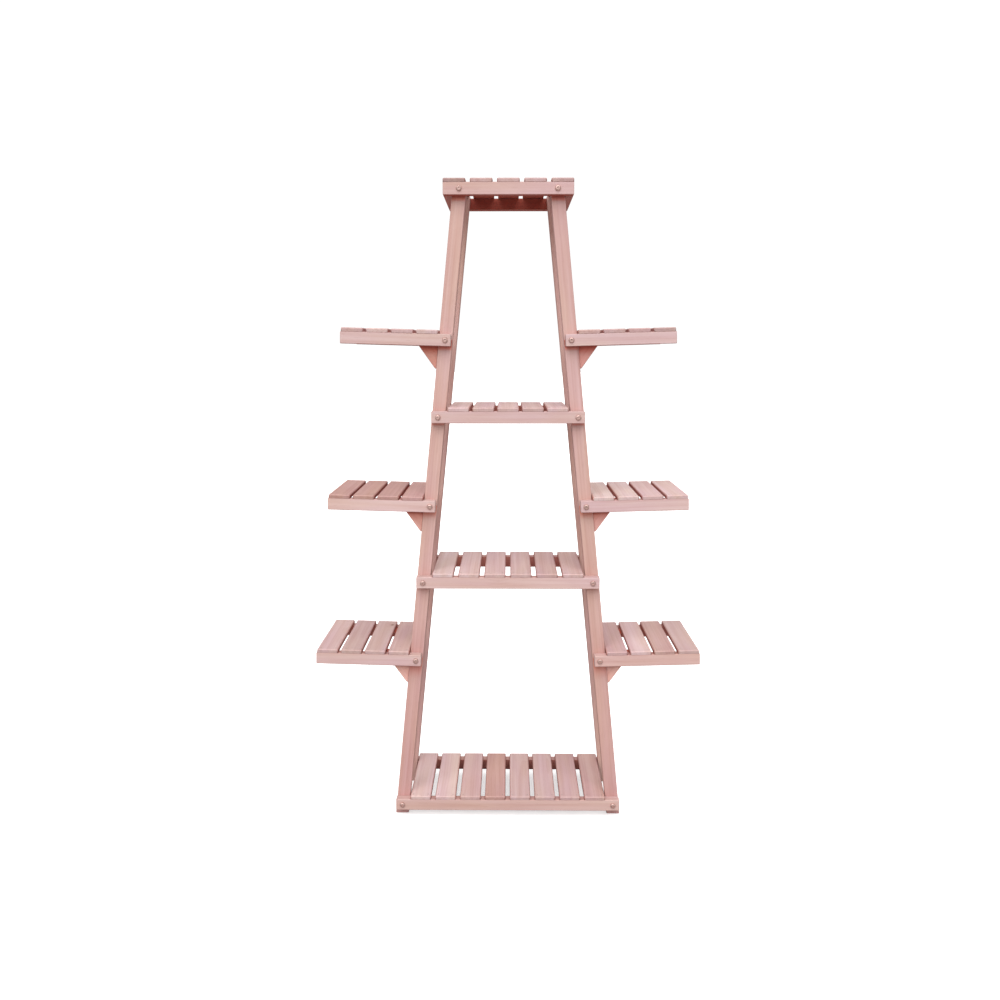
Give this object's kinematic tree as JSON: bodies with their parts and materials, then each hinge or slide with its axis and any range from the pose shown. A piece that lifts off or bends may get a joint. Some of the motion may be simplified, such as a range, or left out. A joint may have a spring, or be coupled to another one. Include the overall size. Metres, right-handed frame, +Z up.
{
  "type": "tiered plant stand",
  "caption": "Free-standing slatted wooden plant stand: leaning ladder frames carry centre shelves and cantilevered side shelves on bolted rails with triangular gussets.",
  "frame": {"origin": "centre of the footprint, on the floor under the feet", "axes": "+X to the right seen from the front, +Y to the back, +Z up"},
  "size_m": [0.7294, 0.2066, 1.2],
  "materials": {
    "leg_wood": "planed, unvarnished softwood, matt",
    "rail_wood": "planed, unvarnished softwood, matt",
    "slat_wood": "planed, unvarnished softwood, matt",
    "gusset_wood": "planed, unvarnished softwood, matt",
    "bolt_steel": "zinc-plated steel, satin",
    "insert_steel": "zinc-plated steel, satin",
    "brad_steel": "bright steel wire, dulled",
    "screw_steel": "zinc-plated steel, satin"
  },
  "bodies": {
    "root": {"bottom_rail_back": "rail_wood", "bottom_rail_front": "rail_wood", "bottom_slats": "slat_wood", "centre_shelf_bolts": "bolt_steel", "gusset_screws": "screw_steel", "left_high_gusset_back": "gusset_wood", "left_high_gusset_front": "gusset_wood", "left_high_rail_back": "rail_wood", "left_high_rail_front": "rail_wood", "left_high_slats": "slat_wood", "left_low_gusset_back": "gusset_wood", "left_low_gusset_front": "gusset_wood", "left_low_rail_back": "rail_wood", "left_low_rail_front": "rail_wood", "left_low_slats": "slat_wood", "left_mid_gusset_back": "gusset_wood", "left_mid_gusset_front": "gusset_wood", "left_mid_rail_back": "rail_wood", "left_mid_rail_front": "rail_wood", "left_mid_slats": "slat_wood", "leg_back_left": "leg_wood", "leg_back_right": "leg_wood", "leg_front_left": "leg_wood", "leg_front_right": "leg_wood", "lower_rail_back": "rail_wood", "lower_rail_front": "rail_wood", "lower_slats": "slat_wood", "right_high_gusset_back": "gusset_wood", "right_high_gusset_front": "gusset_wood", "right_high_rail_back": "rail_wood", "right_high_rail_front": "rail_wood", "right_high_slats": "slat_wood", "right_low_gusset_back": "gusset_wood", "right_low_gusset_front": "gusset_wood", "right_low_rail_back": "rail_wood", "right_low_rail_front": "rail_wood", "right_low_slats": "slat_wood", "right_mid_gusset_back": "gusset_wood", "right_mid_gusset_front": "gusset_wood", "right_mid_rail_back": "rail_wood", "right_mid_rail_front": "rail_wood", "right_mid_slats": "slat_wood", "side_shelf_bolts": "bolt_steel", "slat_brads": "brad_steel", "threaded_inserts": "insert_steel", "top_end_batten_left": "rail_wood", "top_end_batten_right": "rail_wood", "top_rail_back": "rail_wood", "top_rail_front": "rail_wood", "top_slats": "slat_wood", "upper_rail_back": "rail_wood", "upper_rail_front": "rail_wood", "upper_slats": "slat_wood"}
  },
  "joints": []
}
